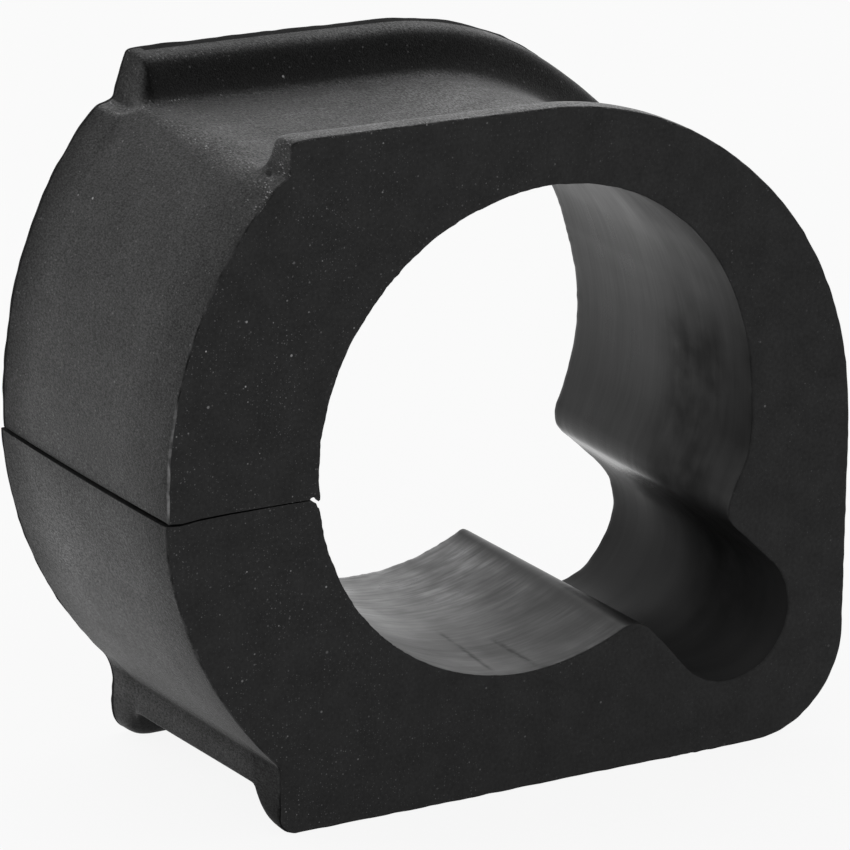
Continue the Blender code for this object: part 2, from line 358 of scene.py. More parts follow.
# Depths of the rows of points on the groove floor and in the bore
GROOVE_Y = (7.0, 9.5, 12.2, 14.9, 17.6, 20.2, 22.2)
BORE_Y = (0.5, 0.9, 1.5, 2.4, 4.0, 6.5, 9.5, 12.5, 15.5, 18.5, 21.5, 24.5, 26.6, 28.0, 28.8)


def rolled(value, start, end):
    """0 before the start, 1 after the end, with an even roll between."""
    part = np.clip((value - start) / (end - start), 0, 1)
    return part * part * (3 - 2 * part)


# The chipped corner at the bore end of the cut, as places on the front face from the cut outwards:
# the upper lip with a tongue that hangs at its edge, that lip behind the tongue, and the lower lip.
CHIP_TONGUE = [(-23.48, -2.34), (-23.27, -2.33), (-23.06, -2.50), (-22.94, -2.68), (-22.76, -2.80), (-22.62, -2.66)]
CHIP_TONGUE += [(-22.61, -2.35), (-22.65, -2.0)]
CHIP_ABOVE = [(-23.48, -2.34), (-23.30, -2.27), (-23.06, -2.26), (-22.93, -2.22), (-22.84, -2.13), (-22.78, -2.02)]
CHIP_ABOVE += [(-22.73, -1.88), (-22.69, -1.7)]
CHIP_BELOW = [(-23.45, -2.66), (-23.36, -2.76), (-23.20, -2.86), (-23.04, -2.93), (-22.97, -3.05), (-22.93, -3.18)]
CHIP_BELOW += [(-22.87, -3.31), (-22.80, -3.43)]
CHIP_RIM = [(-23.75, -2.50), (-23.62, -2.24), (-23.45, -2.10), (-23.33, -1.99), (-23.26, -1.87), (-23.22, -1.75)]
CHIP_RIM += [(-23.21, -1.62), (-23.21, -1.5)]
CHIP_RIM_BELOW = [(-23.75, -2.62), (-23.62, -2.85), (-23.47, -2.97), (-23.35, -3.07), (-23.27, -3.16), (-23.24, -3.25)]
CHIP_RIM_BELOW += [(-23.22, -3.34), (-23.21, -3.43)]


def chipped(places, shape, share, at_end):
    """Move the first or last places of a row onto a chip's shape by a share of the way."""
    shape = np.array(shape)
    if at_end:
        places[-len(shape):] += (shape[::-1] - places[-len(shape):]) * share
    else:
        places[:len(shape)] += (shape - places[:len(shape)]) * share


def block_mesh():
    """The whole block as one sweep of its section from one side of the slit round to the other."""
    outer, inner = stations()
    count = len(outer)
    front, back = eased(trace(outline(False), outer), 2), eased(trace(outline(True), outer), 2)
    floor_front = eased(trace(groove(6.5, 0.0), outer), 2)
    floor_back = eased(trace(groove(1.6, 0.21), outer), 2)
    bore_front, bore_back = eased(trace(keyhole(False), inner), 2), eased(trace(keyhole(True), inner), 2)
    out_front, out_back = normals(front), normals(back)
    void = [-normals(bore_front), -normals(bore_back)]

    # Where the groove runs, the middle of the section follows its floor.
    on_round = np.clip(STEP - outer, 0, 1) + np.clip(outer - BELOW, 0, 1)
    grooved = 1.0 - np.clip(on_round * 5.0, 0, 1)
    based = np.clip((outer - SHOULDER - 0.4) / 1.5, 0, 1)
    ending = np.exp(-(np.clip(np.abs(outer - STEP - 0.6) - 0.35, 0, 9) / 0.12) ** 2)

    # How far along the outside and along the bore each station is from the cut
    beyond = (outer > 0.6) & (outer < BELOW + 0.4)
    near_out = np.where(beyond, 99.0, np.abs(front[:, 1] - SLIT_OUTSIDE[0]))
    near_bore = np.where(beyond, 99.0, np.abs(bore_front[:, 1] - SLIT_BORE[0]))
    lip = np.where(outer < CORNER, 1.0, -1.0)

    rows = []
    kinds = []

    def add(xz, y, kind, inside=0.0, chip=None):
        """Keep a row of places. Inside is 0 at the outside and 1 at the bore."""
        places = np.column_stack([xz[:, 0], np.broadcast_to(y, (count,)), xz[:, 1]]).astype(float)
        depth = places[:, 1]
        far = near_out * (1 - inside) + near_bore * inside
        along_bore = depth / LENGTH
        bow = SLIT_BOW * 4 * along_bore * (1 - along_bore) * (1 - inside) * np.exp(-(far / BOW_REACH) ** 2)
        gape = np.interp(depth, GAPE_DEPTHS, GAPE_OUTSIDE) * (1 - inside) + GAPE_BORE * inside
        places[:, 2] += bow + lip * gape / 2 * np.exp(-(far / GAPE_REACH) ** 2)
        if chip:
            flat = places[:, [0, 2]].copy()
            above, below, part = chip
            chipped(flat, above, part, False)
            chipped(flat, below, part, True)
            places[:, 0], places[:, 2] = flat[:, 0], flat[:, 1]
        rows.append(places)
        kinds.append(kind)

    saw = ripple(count, 3.0, 11, 0.045) + ripple(count, 9.0, 12, 0.05)
    saw_back = ripple(count, 3.5, 13, 0.05) + ripple(count, 10.0, 14, 0.07)
    # Flash left on the back edge, over the shoulder
    torn = rolled(outer, SHOULDER + 0.08, SHOULDER + 0.2) * (1 - rolled(outer, SHOULDER + 0.6, SHOULDER + 0.75))
    standing = 0.16 * rolled(outer, SHOULDER + 0.24, SHOULDER + 0.42)
    saw_back += torn * (ripple(count, 4.5, 17, 0.16) + standing)
    saw_bore = ripple(count, 2.5, 15, 0.05) + ripple(count, 8.0, 16, 0.06)

    def middle(y):
        """The surface between the end faces: straight across on the round side, the groove floor elsewhere."""
        along_bore = (y / LENGTH)[:, None]
        across = front + (back - front) * along_bore
        floor = floor_front + (floor_back - floor_front) * rolled(y, 3.0, 24.0)[:, None]
        return across + (floor - across) * grooved[:, None]

    def tip_points(profile, base_profile, tips, at_back):
        """The rows of a flange from its end face in, each with its depth."""
        for (y, w), (y_base, w_base) in zip(profile, base_profile):
            place = y + (y_base - y) * based
            if not at_back:
                place = place + ending * 0.25 * w * min(1.0, y / 1.3)
            weight = w + (w_base - w) * based
            real = LENGTH - place if at_back else place
            inside = middle(real)
            yield inside + (tips - inside) * weight[:, None], real

    def rounded(curve, out, waves):
        """The rows round a cut edge, each with how far it lies from the end face."""
        for wave, inset, depth in EDGE_ROUND:
            yield curve + out * (waves * wave - inset * EDGE)[:, None], depth * EDGE

    # Front face edge, front flange, groove, back flange, back face edge
    outside_front, outside_back = front - out_front * EDGE_INSIDE, back - out_back * EDGE_INSIDE
    inside_front, inside_back = bore_front - void[0] * EDGE_INSIDE, bore_back - void[1] * EDGE_INSIDE
    add(outside_front, 0.0, "cut")
    for (xz, y), kind in zip(rounded(front, out_front, saw), ("cut", "skin", "skin")):
        add(xz, y, kind)
    for xz, y in tip_points(TIP_TOP, TIP_BASE, front, False):
        add(xz, y, "tip")
    for y in GROOVE_Y:
        add(middle(np.full(count, y)), y, "skin")
    for xz, y in reversed(list(tip_points(TIP_BACK, TIP_BASE_BACK, back, True))):
        add(xz, y, "tip")
    # The rounded back edge takes the rim's painted shade.
    for xz, y in reversed(list(rounded(back, out_back, saw_back))):
        add(xz, LENGTH - y, "rim")
    add(outside_back, LENGTH, "cut")

    # Back face
    for part in (0.25, 0.5, 0.75):
        add(outside_back + (inside_back - outside_back) * part, LENGTH, "cut", part)
    add(inside_back, LENGTH, "cut", 1.0)
    for (xz, y), kind in zip(rounded(bore_back, void[1], saw_bore), ("cut", "bore", "bore")):
        add(xz, LENGTH - y, kind, 1.0)

    # Bore, with the chip at the front end of the cut
    for y in BORE_Y[::-1]:
        chip = (CHIP_ABOVE, CHIP_BELOW, float(1 - rolled(y, 0.9, 1.8))) if y < 2.0 else None
        add(bore_front + (bore_back - bore_front) * (y / LENGTH), y, "bore", 1.0, chip)
    tongue = (CHIP_TONGUE, CHIP_BELOW, 1.0)
    add(bore_front + void[0] * (saw_bore * 0.3)[:, None], EDGE * 2.0, "bore", 1.0, tongue)
    for xz, y in reversed(list(rounded(bore_front, void[0], saw_bore))):
        add(xz, y, "cut", 1.0, tongue)

    # Front face, where the cut wanders a little
    add(inside_front, 0.0, "cut", 1.0, (CHIP_RIM, CHIP_RIM_BELOW, 1.0))
    for part, stray in ((0.2, 0.03), (0.4, 0.06), (0.6, 0.09), (0.8, 0.05), (0.93, -0.11)):
        between = inside_front + (outside_front - inside_front) * part
        between[:, 1] += stray * np.exp(-(near_out / 2.0) ** 2)
        add(between, 0.0, "cut", 1.0 - part)
    points = np.stack(rows, 1)
    soften(points, outer, kinds.index("tip"))
    far = np.linalg.norm(points - np.array(PIT_PLACE), axis=2)
    points += (np.exp(-(far / PIT_REACH) ** 2) * PIT_DEPTH)[:, :, None] * PIT_INWARD
    return points, kinds, outer, inner


def soften(points, outer, first):
    """Ease the corner where the end of the front flange runs out into the round side."""
    rows = slice(first, first + 24)
    depth = points[len(outer) // 4, rows, 1]
    near = np.exp(-((outer - STEP - 0.12) / 0.28) ** 2)
    weight = near[:, None] * (rolled(depth, 0.5, 1.8) * (1 - rolled(depth, 6.0, 9.0)))[None, :]
    part = points[:, rows]
    for _ in range(40):
        mean = part.copy()
        mean[1:-1, 1:-1] = (part[:-2, 1:-1] + part[2:, 1:-1] + part[1:-1, :-2] + part[1:-1, 2:]) / 4
        part += (mean - part) * weight[:, :, None] * 0.7


# The rim material is dark painted shade on the back edge and on the slit's faces.
CUT_FACE, SKIN, BORE, SHADE_RIM, NOTCH_WALL, END_SKIN = range(6)
SLOTS = {"cut": CUT_FACE, "skin": SKIN, "tip": SKIN, "bore": BORE, "rim": SHADE_RIM}


def surfaces(points, kinds, outer, inner):
    """The number of the material on each face."""
    flange, order = [], []
    for one, two in zip(kinds, kinds[1:] + kinds[:1]):
        order.append(max(SLOTS[one], SLOTS[two]))
        flange.append("tip" in (one, two))
    chosen = np.tile(order, (len(outer) - 1, 1))
    flange = np.array(flange)
    depth = points[len(outer) // 4, :, 1]
    back_edge = flange & (np.minimum(depth, np.roll(depth, -1)) > LENGTH - BACK_RIM)

    def run(places, start, end):
        """The stretch of the sweep between two places."""
        return ((places[:-1] >= start) & (places[1:] <= end))[:, None]

    chosen[(chosen == BORE) & run(inner, NOTCH + 0.35, LOWER_RIDGE)] = NOTCH_WALL
    chosen[(chosen == SKIN) & run(outer, BASE - 0.1, FOOT + 0.05) & flange] = END_SKIN
    chosen[(chosen == SKIN) & run(outer, FOOT - 0.02, HOLLOW + 0.5)] = END_SKIN
    # The flange tips near the back edge take the rim's painted shade.
    chosen[(chosen == SKIN) & run(outer, TOP - 0.03, FOOT - 0.02) & back_edge] = SHADE_RIM
    return chosen.ravel().astype(np.int32)


def build(points, kinds, outer, inner, name):
    """One closed mesh from the section points, in metres in the row frame."""
    count, ring = points.shape[:2]
    places = (points.reshape(-1, 3) + PLACE) * MM
    number = np.arange(count * ring).reshape(count, ring)
    here, there = number[:-1], number[1:]
    quads = np.stack([here, np.roll(here, -1, 1), np.roll(there, -1, 1), there], -1).reshape(-1, 4)
    mesh = bpy.data.meshes.new(name)
    mesh.from_pydata(places.tolist(), [], quads.tolist())
    mesh.polygons.foreach_set("material_index", surfaces(points, kinds, outer, inner))

    shape = bmesh.new()
    shape.from_mesh(mesh)
    shape.verts.ensure_lookup_table()
    # The slit's two faces take the rim's painted shade.
    for row in (number[0], number[-1]):
        cap = shape.faces.new([shape.verts[i] for i in row])
        cap.material_index = SHADE_RIM
        bmesh.ops.triangulate(shape, faces=[cap], ngon_method="EAR_CLIP")
    bmesh.ops.recalc_face_normals(shape, faces=shape.faces)
    shape.to_mesh(mesh)
    shape.free()
    mesh.shade_smooth()
    mesh.set_sharp_from_angle(angle=math.radians(50.0))
    thing = bpy.data.objects.new(name, mesh)
    bpy.context.scene.collection.objects.link(thing)
    return thing


class Nodes:
    """A node tree and short ways to add nodes to it."""

    def __init__(self, tree):
        self.tree = tree

    def node(self, kind):
        """A new node of this kind."""
        return self.tree.nodes.new("ShaderNode" + kind)

    def link(self, source, socket):
        self.tree.links.new(source, socket)

    def feed(self, value, socket):
        """Set a socket to a plain value, or link an output to it."""
        if isinstance(value, (int, float, tuple)):
            socket.default_value = value
        else:
            self.link(value, socket)

    def math(self, operation, first, second=0.0):
        """A calculation with two values."""
        node = self.node("Math")
        node.operation = operation
        self.feed(first, node.inputs[0])
        self.feed(second, node.inputs[1])
        return node.outputs[0]

    def chain(self, operation, values):
        """One operation over two or more values in turn."""
        total = values[0]
        for value in values[1:]:
            total = self.math(operation, total, value)
        return total

    def times(self, *values):
        return self.chain("MULTIPLY", values)

    def plus(self, *values):
        return self.chain("ADD", values)

    def most(self, *values):
        return self.chain("MAXIMUM", values)

    def spread(self, value, low, high, first=0.0, last=1.0, smooth=False):
        """Map a range onto another, held at its ends."""
        node = self.node("MapRange")
        node.interpolation_type = "SMOOTHSTEP" if smooth else "LINEAR"
        self.feed(value, node.inputs[0])
        for number, part in enumerate((low, high, first, last)):
            node.inputs[1 + number].default_value = part
        return node.outputs[0]

    def split(self, vector):
        """The three parts of a vector."""
        node = self.node("SeparateXYZ")
        self.link(vector, node.inputs[0])
        return node.outputs

    def blend(self, share, first, second):
        """A shader between two others."""
        node = self.node("MixShader")
        for value, socket in zip((share, first, second), node.inputs):
            self.link(value, socket)
        return node.outputs[0]

    def rays(self, *names):
        """1 for a ray of any of these kinds."""
        path = self.node("LightPath")
        return self.most(*[path.outputs[name] for name in names])


class Looks(Nodes):
    """A material, with the place and the facing of the surface. Lengths are in millimetres."""

    def __init__(self, name, rough, gloss):
        self.material = bpy.data.materials.new(name)
        self.material.use_nodes = True
        super().__init__(self.material.node_tree)
        self.shader = self.tree.nodes["Principled BSDF"]
        self.shader.inputs["Roughness"].default_value = rough
        self.shader.inputs["Specular IOR Level"].default_value = gloss
        place = self.vector("SUBTRACT", self.node("TexCoord").outputs["Object"], tuple(PLACE * MM))
        self.place = self.vector("SCALE", place, 1 / MM)
        self.x, self.y, self.z = self.split(self.place)
        self.to_side, self.to_back, self.upwards = self.split(self.node("NewGeometry").outputs["Normal"])

    def vector(self, operation, first, second):
        """A calculation with two vectors, or with a vector and a number."""
        node = self.node("VectorMath")
        node.operation = operation
        self.feed(first, node.inputs[0])
        self.feed(second, node.inputs["Scale"] if operation == "SCALE" else node.inputs[1])
        return node.outputs["Value" if operation == "DISTANCE" else "Vector"]

    def join(self, x, y, z):
        """A vector of three parts."""
        node = self.node("CombineXYZ")
        for value, socket in zip((x, y, z), node.inputs):
            self.feed(value, socket)
        return node.outputs[0]

    def noise(self, size, detail=2.0, rough=0.5, place=None):
        """Noise from 0 to 1 with blobs of about this size."""
        node = self.node("TexNoise")
        self.link(self.place if place is None else place, node.inputs["Vector"])
        node.inputs["Scale"].default_value = 1.0 / size
        node.inputs["Detail"].default_value = detail
        node.inputs["Roughness"].default_value = rough
        return node.outputs[0]

    def specks(self, place, cell, radius, kept, flat=False):
        """Small dots, one to a cell at most, in this share of the cells. Returns their mask and their own shade."""
        node = self.node("TexVoronoi")
        node.voronoi_dimensions = "2D" if flat else "3D"
        self.link(place, node.inputs["Vector"])
        node.inputs["Scale"].default_value = 1.0 / cell
        split = self.node("SeparateColor")
        self.link(node.outputs["Color"], split.inputs[0])
        size = self.times(self.spread(split.outputs[1], 0, 1, 0.45, 1.0), radius / cell)
        near = self.spread(self.math("DIVIDE", node.outputs["Distance"], size), 0.65, 1.0, 1.0, 0.0)
        return self.times(near, self.math("LESS_THAN", split.outputs[0], kept)), split.outputs[2]

    def colour(self, value):
        """Give the shader a grey of this level."""
        self.link(self.join(value, value, self.times(value, 1.01)), self.shader.inputs["Base Color"])

    def roughness(self, value):
        """Give the shader this roughness."""
        self.link(value, self.shader.inputs["Roughness"])

    def relief(self, height, distance, strength=1.0):
        """Fine texture too small for the mesh."""
        node = self.node("Bump")
        node.inputs["Strength"].default_value = strength
        node.inputs["Distance"].default_value = distance * MM
        self.link(height, node.inputs["Height"])
        self.link(node.outputs[0], self.shader.inputs["Normal"])


SKIN_SHADE, SKIN_GLOSS, SKIN_SHEEN = 0.0115, 0.62, 0.25
# The base's end skin is painted lighter than the rest of the skin: painted light where little light reaches.
END_PAINTED_LIGHT_SHADE, END_GLOSS, END_SHEEN = 0.050, 0.42, 0.20
# Dust with painted sheen on what faces up, and painted floor bounce low on the round side
FLOOR_DUST_AND_SHEEN, LOW_PAINTED_LIGHT = 0.040, 0.022
FACE_SHADE, FACE_GLOSS = 0.034, 0.36
# The rim's dark grey is painted shade.
RIM_PAINTED_SHADE, RIM_GLOSS = 0.017, 0.10
# The bore's dust level also carries painted light towards the back.
BORE_SHADE, BORE_GLOSS, BORE_DUST_AND_LIGHT = 0.006, 0.40, 0.045
# The notch walls are painted lighter than the bore: painted light in the recess.
NOTCH_PAINTED_LIGHT_SHADE, NOTCH_GLOSS = 0.027, 0.17


def moulded_skin(name, shade, gloss, sheen, sandy):
    """Sandy moulded rubber, lighter where it faces up from dust and painted sheen, with painted shade on the flange
    walls, in creases and along the back edge, and a lighter front edge.
    """
    look = Looks(name, 0.52, gloss)
    look.shader.inputs["Sheen Weight"].default_value = sheen
    look.shader.inputs["Sheen Roughness"].default_value = 0.36
    x, y, z, to_back, upwards = look.x, look.y, look.z, look.to_back, look.upwards
    spread, times, plus, most = look.spread, look.times, look.plus, look.most
    drawn = look.join(x, times(y, 0.45), z)
    grain = look.noise(0.15, 2.0, 0.7, drawn)
    cloud = look.noise(4.5, 3.0, 0.6)
    blots = look.noise(1.3, 2.0, 0.6)

    # Dust and painted sheen lighten what faces up, more towards the right and less towards the back.
    dust_and_sheen_up = times(spread(upwards, 0.72, 0.98, 0.0, FLOOR_DUST_AND_SHEEN), spread(y, 14.0, 24.0, 1.0, 0.72))
    dust_and_sheen_up = times(dust_and_sheen_up, spread(x, -24.0, 6.0, 0.85, 1.3), spread(x, -12.0, 3.0, 1.0, 1.9))
    # Painted light: the low round side is lightened as if by the floor's bounce, with a painted reflection band
    # between depths 14 and 25.
    low = times(spread(z, -29.0, -12.0, 0.4, 1.0), spread(z, -12.0, -2.0, 1.0, 0.0))
    low = times(low, spread(y, 14.0, 21.0, 1.0, 1.7), spread(y, 22.0, 25.0, 1.0, 0.5), LOW_PAINTED_LIGHT)

    # Painted shade darkens what faces the front, such as the flange walls, and a band along the back edge; the skin is
    # also darker low down and towards the front edge.
    edge = times(spread(y, 0.4, 8.0, 1.0, 0.0), spread(upwards, 0.5, 0.9, 1.0, 0.0))
    far = times(spread(y, 24.0, 28.8), spread(z, -26.0, -16.0), spread(upwards, 0.75, 0.9, 1.0, 0.0))
    far = most(far, times(spread(y, 25.2, 27.9), spread(z, 27.5, 29.0)))
    painted_dimming = times(spread(to_back, -0.8, -0.3, 0.35, 1.0), spread(z, -32.0, -27.5, 0.3, 1.0))
    painted_dimming = times(painted_dimming, spread(edge, 0.0, 1.0, 1.0, 0.5), spread(far, 0.0, 1.0, 1.0, 0.4))
    uneven = times(spread(grain, 0.34, 0.74, 0.0, 2.9 * sandy), spread(cloud, 0.3, 0.7, 0.75, 1.25))
    value = times(uneven, spread(blots, 0.3, 0.7, 0.85, 1.15), plus(dust_and_sheen_up, low, shade), painted_dimming)

    # Bright grains: all over, a few larger ones, and a crowd on the crest beside the front step
    dots, own = look.specks(look.place, 0.42, 0.13, 0.30)
    value = plus(value, times(dots, spread(own, 0, 1, 0.01, 0.09 * sandy)))
    motes, own = look.specks(look.place, 2.6, 0.22, 0.18)
    value = plus(value, times(motes, spread(own, 0, 1, 0.08, 0.40)))
    crest = times(spread(y, 0.3, 6.0, 1.0, 0.0), spread(z, 23.5, 26.5))
    bend = times(spread(upwards, 0.78, 0.9), spread(upwards, 0.95, 1.0, 1.0, 0.35), spread(x, -22.0, -12.0, 0.8, 0.12))
    chips, own = look.specks(drawn, 0.18, 0.09, 0.72)
    chips = times(chips, most(crest, bend), spread(look.noise(1.1, 2.0), 0.38, 0.6, 0.2, 1.0))
    value = plus(value, times(chips, spread(own, 0.1, 1, 0.02, 0.36)))

    # The front edge is lighter, most of all above the slit.
    lighter_front_edge = times(spread(y, 0.05, 0.3, 1.0, 0.0), spread(look.noise(1.6), 0.4, 0.6, 0.2, 1.0))
    bright = times(spread(z, -2.6, -1.0), spread(z, 5.0, 9.0, 0.30, 0.0), spread(x, -20.0, 0.0, 1.0, 0.0))
    value = plus(value, times(lighter_front_edge, plus(bright, 0.05)))

    # Painted shade under the round side, where it turns down onto the end of the base, on low walls that face the
    # front, and low near the front edge.
    turned = times(spread(z, -29.0, -27.5), spread(z, -27.3, -26.6, 0.75, 0.0))
    root = times(spread(to_back, -0.85, -0.45, 1.0, 0.0), spread(z, -30.0, -29.0, 1.0, 0.0))
    front = times(spread(y, 0.8, 5.0, 0.3, 0.0), spread(z, -28.0, -27.0, 1.0, 0.0))
    crease_shade = most(turned, root, front)
    value = times(value, spread(crease_shade, 0.0, 1.0, 1.0, 0.35))
    # Painted shade darkens the pit.
    value = times(value, spread(look.vector("DISTANCE", look.place, PIT_PLACE), 0.22, 0.38, 0.05, 1.0))
    look.colour(value)
    rough = plus(spread(grain, 0.3, 0.7, 0.66, 0.40), spread(cloud, 0.3, 0.7, 0.03, -0.03))
    look.roughness(plus(rough, times(edge, 0.14), times(far, 0.25), times(crease_shade, 0.28)))
    look.relief(plus(grain, times(look.noise(0.5, 2.0), 0.6)), 0.055 * sandy)
    return look.material


def dark_rim_shade():
    """The thin edge round the back end and the slit's faces, painted dark as shade, without dust."""
    look = Looks("dark_rim_shade", 0.8, RIM_GLOSS)
    look.colour(look.times(look.spread(look.noise(0.6, 2.0), 0.3, 0.7, 0.7, 1.3), RIM_PAINTED_SHADE))
    return look.material


# Dust on the cut faces, fine to coarse: cell, radius, share of the cells and brightness
FACE_SPECKS = ((0.30, 0.06, 0.34, 0.10), (0.48, 0.08, 0.28, 0.15), (1.2, 0.11, 0.22, 0.26), (4.2, 0.16, 0.22, 0.60))


def cut_face():
    """Flat dark rubber of the end faces, with fine dust that gathers in places."""
    look = Looks("cut_face", 0.72, FACE_GLOSS)
    spread, times = look.spread, look.times
    flat = look.join(look.x, look.z, 0.0)
    fine = look.noise(0.35, 2.0)
    cloud = look.noise(3.0, 3.0, 0.6)
    value = times(spread(fine, 0.3, 0.7, 0.84, 1.16), spread(cloud, 0.3, 0.7, 0.86, 1.14), FACE_SHADE)
    crowd = times(spread(look.noise(5.0, 3.0, 0.6), 0.40, 0.62, 0.25, 1.0), spread(look.x, -22.0, 8.0, 1.15, 0.3))
    for cell, radius, kept, bright in FACE_SPECKS:
        shifted = look.vector("ADD", flat, (cell * 7.3, cell * 3.1, 0.0))
        dots, own = look.specks(shifted, cell, radius, kept, flat=True)
        value = look.plus(value, times(dots, crowd, spread(own, 0, 1, bright * 0.2, bright)))
    look.colour(value)
    look.relief(fine, 0.02, 0.6)
    return look.material


def stroke(look, arc, start, slope, first, last):
    """A soft dark mark along the bore, from one depth to another."""
    spread, times = look.spread, look.times
    middle = look.plus(times(look.y, slope), start)
    aside = look.plus(look.math("SUBTRACT", arc, middle), spread(look.noise(3.5), 0.3, 0.7, -0.2, 0.2))
    near = spread(look.math("ABSOLUTE", aside), 0.05, 0.42, 1.0, 0.0)
    ends = times(spread(look.y, first, first + 1.5), spread(look.y, last - 2.0, last, 1.0, 0.0))
    return times(near, ends, spread(look.noise(0.9), 0.38, 0.55, 0.3, 1.0))


def bore_wall(name, shade, gloss, dust_and_light_share):
    """Smoother rubber of the bore and the notch, wiped in soft bands, duller and darker with painted shade towards the
    front, and dusty below with painted light towards the back.
    """
    look = Looks(name, 0.32, gloss)
    x, y, z = look.x, look.y, look.z
    spread, times, plus = look.spread, look.times, look.plus
    turn = look.math("ARCTAN2", z, x)
    arc = times(turn, BORE_RADIUS)
    round_way = look.join(times(arc, 0.12), y, 0.0)
    rings = look.noise(1.3, 2.0, 0.5, round_way)
    lines = look.noise(0.42, 1.0, 0.5, round_way)
    bands = look.noise(5.0, 2.0, 0.5, round_way)
    patches = look.noise(6.0, 2.0, 0.5)
    blots = look.noise(3.6, 3.0, 0.6)
    below = spread(look.upwards, 0.15, 0.75)
    marks = look.most(stroke(look, arc, -39.18, 0.103, 1.2, 13.5), stroke(look, arc, -34.83, 0.051, 0.6, 9.5))
    marks = times(marks, below)

    # Dust on the bottom with painted light: lighter towards the back and towards the left of the bottom, and clear of
    # the ridge over the notch
    dust_and_light = times(below, spread(patches, 0.35, 0.65, 0.6, 1.4), BORE_DUST_AND_LIGHT * dust_and_light_share)
    dust_and_light = times(dust_and_light, spread(y, 11.0, 24.0, 0.80, 4.0), spread(turn, -1.84, -1.56, 1.35, 0.96))
    dust_and_light = times(dust_and_light, spread(turn, -1.17, -1.10, 1.0, 0.05), spread(rings, 0.3, 0.7, 0.8, 1.2))
    dust_and_light = times(dust_and_light, spread(lines, 0.3, 0.7, 0.6, 1.4), spread(blots, 0.3, 0.7, 0.62, 1.38))
    value = plus(times(spread(bands, 0.3, 0.7, 0.7, 1.3), shade), dust_and_light)
    value = times(value, spread(marks, 0.0, 1.0, 1.0, 0.5))

    # Low on the upright side the front half is duller and darkened with painted shade, and higher up it shines more.
    raised = spread(turn, 0.25, 0.60)
    dulled_and_shaded = times(spread(turn, 0.05, 0.35, 1.0, 0.0), spread(turn, -0.9, -0.6), spread(y, 3.0, 7.0, 0.2, 1.0))
    dulled_and_shaded = times(dulled_and_shaded, spread(y, 12.0, 16.5, 1.0, 0.0, smooth=True), spread(blots, 0.35, 0.65, 0.55, 1.3))
    value = times(value, look.math("SUBTRACT", 1.0, times(dulled_and_shaded, 0.5)))
    # A patch on the lower right of the bore, between depths 9 and 19, is lighter.
    lighter_patch = times(below, spread(y, 9.0, 19.0), spread(z, -21.5, -19.5, 1.0, 0.3))
    lighter_patch = times(lighter_patch, spread(x, 11.5, 13.5), spread(x, 18.0, 22.0, 1.0, 0.0))
    look.colour(plus(value, times(lighter_patch, spread(blots, 0.35, 0.65, 0.0, 0.045))))

    dull = times(spread(y, 0.0, 21.0, 0.26, 0.0, smooth=True), spread(raised, 0.0, 1.0, 1.0, 0.5))
    dull = times(dull, spread(below, 0.0, 1.0, 1.0, 0.3))
    rough = plus(spread(patches, 0.35, 0.65, 0.33, 0.27), spread(rings, 0.3, 0.7, 0.02, -0.02))
    rough = plus(rough, dull, spread(bands, 0.35, 0.65, 0.04, -0.03), times(marks, 0.12), times(dulled_and_shaded, 0.16))
    # The notch is dull deep inside, and the ridge over it is polished towards the back.
    across = times(plus(x, z), math.sqrt(0.5))
    out = times(look.math("SUBTRACT", x, z), math.sqrt(0.5))
    ridge = times(spread(across, 5.9, 6.3), spread(out, 22.3, 23.6), spread(out, 26.0, 28.5, 1.0, 0.0))
    ridge = times(ridge, spread(y, 11.0, 21.0))
    deep = times(spread(out, 27.5, 33.0), spread(y, 6.0, 24.0, 1.0, 0.2))
    look.roughness(times(plus(rough, times(deep, 0.4)), spread(ridge, 0.0, 1.0, 1.0, 0.45)))
    look.relief(plus(times(rings, 0.6), times(marks, -0.2)), 0.08, 0.6)
    return look.material


piece = build(*block_mesh(), "rubber_block")
materials = {
    SKIN: moulded_skin("moulded_skin", SKIN_SHADE, SKIN_GLOSS, SKIN_SHEEN, 1.0),
    END_SKIN: moulded_skin("clean_foot", END_PAINTED_LIGHT_SHADE, END_GLOSS, END_SHEEN, 0.5),
    BORE: bore_wall("bore_wall", BORE_SHADE, BORE_GLOSS, 1.0),
    NOTCH_WALL: bore_wall("notch_wall", NOTCH_PAINTED_LIGHT_SHADE, NOTCH_GLOSS, 0.0),
    CUT_FACE: cut_face(),
    SHADE_RIM: dark_rim_shade(),
}
for number in sorted(materials):
    piece.data.materials.append(materials[number])
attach(piece, "root")
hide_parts(NODE)

# Camera, fitted to the photograph's view
AZIMUTH, ELEVATION, ROLL = -32.413, 19.458, 1.61
DISTANCE, ASIDE, ABOVE = 958.871, -10.026, 0.58
FOCAL_PIXELS = 10746.913
PICTURE = 850
SENSOR = 36.0


def add_camera():
    """The photograph's view, from its fitted angles and distances."""
    a, e, r = (math.radians(x) for x in (AZIMUTH, ELEVATION, ROLL))
    back = Vector((math.sin(a) * math.cos(e), -math.cos(a) * math.cos(e), math.sin(e)))
    right = Vector((math.cos(a), math.sin(a), 0.0))
    up = back.cross(right)
    right, up = right * math.cos(r) + up * math.sin(r), up * math.cos(r) - right * math.sin(r)
    where = back * DISTANCE + right * ASIDE + up * ABOVE + Vector(PLACE)
    data = bpy.data.cameras.new("camera")
    data.sensor_width = SENSOR
    data.lens = FOCAL_PIXELS * SENSOR / PICTURE
    data.clip_start, data.clip_end = 0.05, 20.0
    camera = bpy.data.objects.new("camera", data)
    turn = Matrix((right, up, back)).transposed()
    camera.matrix_world = Matrix.Translation(where * MM) @ turn.to_4x4()
    bpy.context.scene.collection.objects.link(camera)
    bpy.context.scene.camera = camera


add_camera()


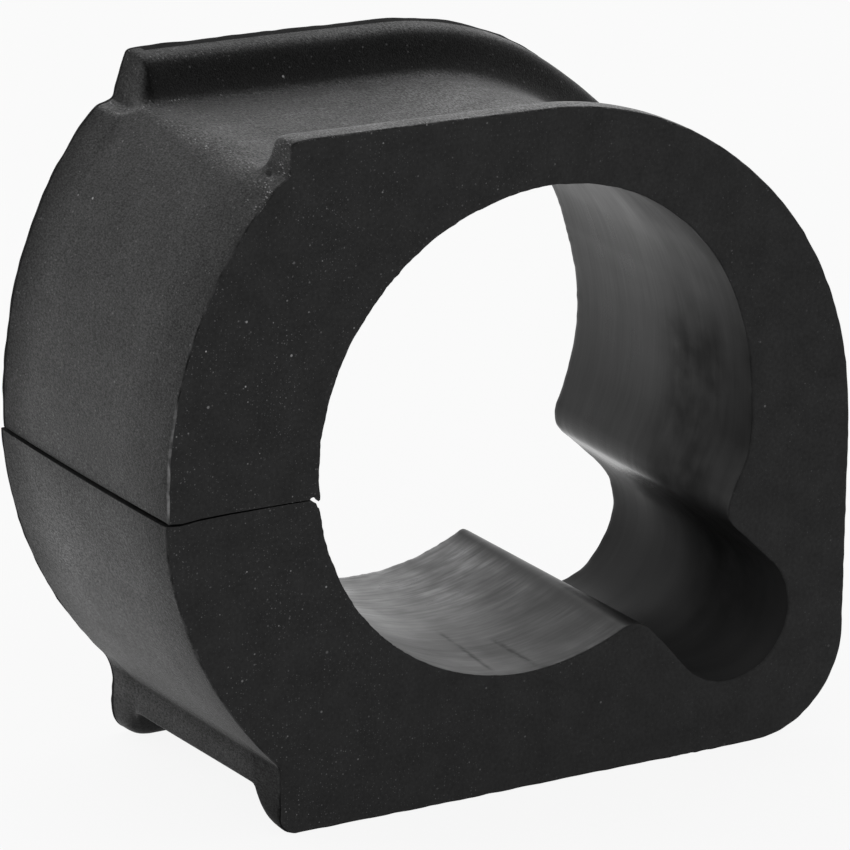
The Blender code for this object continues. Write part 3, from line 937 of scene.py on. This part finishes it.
# Studio light by side, as strengths: from all round, from behind, the camera's side, left, right and above
AROUND = (0.28, 1.30, 0.30, 0.0, 0.10, 0.10)
MIRRORED = (0.0, 1.0, 0.0, 0.0, 0.36, 0.0)
# The floor: how bright the object's surface mirrors it behind, how much of its picture is plain white, its height
FLOOR_MIRRORED = 0.90
FLOOR_PLAIN = 0.9
FLOOR_SIZE, FLOOR_LEVEL = 3.0, -0.00015
CAMERA_RAYS = ("Is Camera Ray", "Is Transmission Ray")


def sided(nodes, direction, levels):
    """A strength that changes softly with the side that it comes from."""
    x, y, z = nodes.split(direction)
    total = levels[0]
    for part, sign, level in zip((y, y, x, x, z), (1.0, -1.0, -1.0, 1.0, 1.0), levels[1:]):
        total = nodes.plus(nodes.times(nodes.most(nodes.times(part, sign), 0.0), level), total)
    return total


def world_light():
    """Soft light by side, with a darker studio in the object's mirror image and plain white behind it all."""
    world = bpy.data.worlds.new("studio")
    bpy.context.scene.world = world
    world.use_nodes = True
    nodes = Nodes(world.node_tree)
    direction = nodes.node("TexCoord").outputs["Generated"]
    light, mirrored, shown = world.node_tree.nodes["Background"], nodes.node("Background"), nodes.node("Background")
    strengths = (sided(nodes, direction, AROUND), sided(nodes, direction, MIRRORED), 1.0)
    for background, strength in zip((light, mirrored, shown), strengths):
        background.inputs["Color"].default_value = (1.0, 1.0, 1.0, 1.0)
        nodes.feed(strength, background.inputs["Strength"])
    lit = nodes.blend(nodes.rays("Is Glossy Ray"), light.outputs[0], mirrored.outputs[0])
    lit = nodes.blend(nodes.rays(*CAMERA_RAYS), lit, shown.outputs[0])
    nodes.link(lit, world.node_tree.nodes["World Output"].inputs["Surface"])


def white_floor():
    """A pale floor that the camera sees as nearly white, with the object's shadow on it."""
    mesh = bpy.data.meshes.new("floor")
    corners = [(x * FLOOR_SIZE, y * FLOOR_SIZE, FLOOR_LEVEL) for x, y in ((-1, -1), (1, -1), (1, 1), (-1, 1))]
    mesh.from_pydata(corners, [], [(0, 1, 2, 3)])
    floor = bpy.data.objects.new("floor", mesh)
    bpy.context.scene.collection.objects.link(floor)
    material = bpy.data.materials.new("floor")
    material.use_nodes = True
    nodes = Nodes(material.node_tree)
    shader = material.node_tree.nodes["Principled BSDF"]
    shader.inputs["Base Color"].default_value = (0.8, 0.8, 0.8, 1.0)
    shader.inputs["Roughness"].default_value = 0.9
    shader.inputs["Specular IOR Level"].default_value = 0.0
    behind = nodes.split(nodes.node("TexCoord").outputs["Object"])[1]
    surface = shader.outputs[0]
    kinds = ((("Is Glossy Ray",), nodes.spread(behind, -0.05, 0.05, 0.0, FLOOR_MIRRORED)), (CAMERA_RAYS, 1.0))
    for names, strength in kinds:
        glow = nodes.node("Emission")
        nodes.feed(strength, glow.inputs["Strength"])
        surface = nodes.blend(nodes.times(nodes.rays(*names), FLOOR_PLAIN), surface, glow.outputs[0])
    nodes.link(surface, material.node_tree.nodes["Material Output"].inputs["Surface"])
    mesh.materials.append(material)


world_light()
white_floor()
bpy.context.scene.view_settings.view_transform = "Standard"
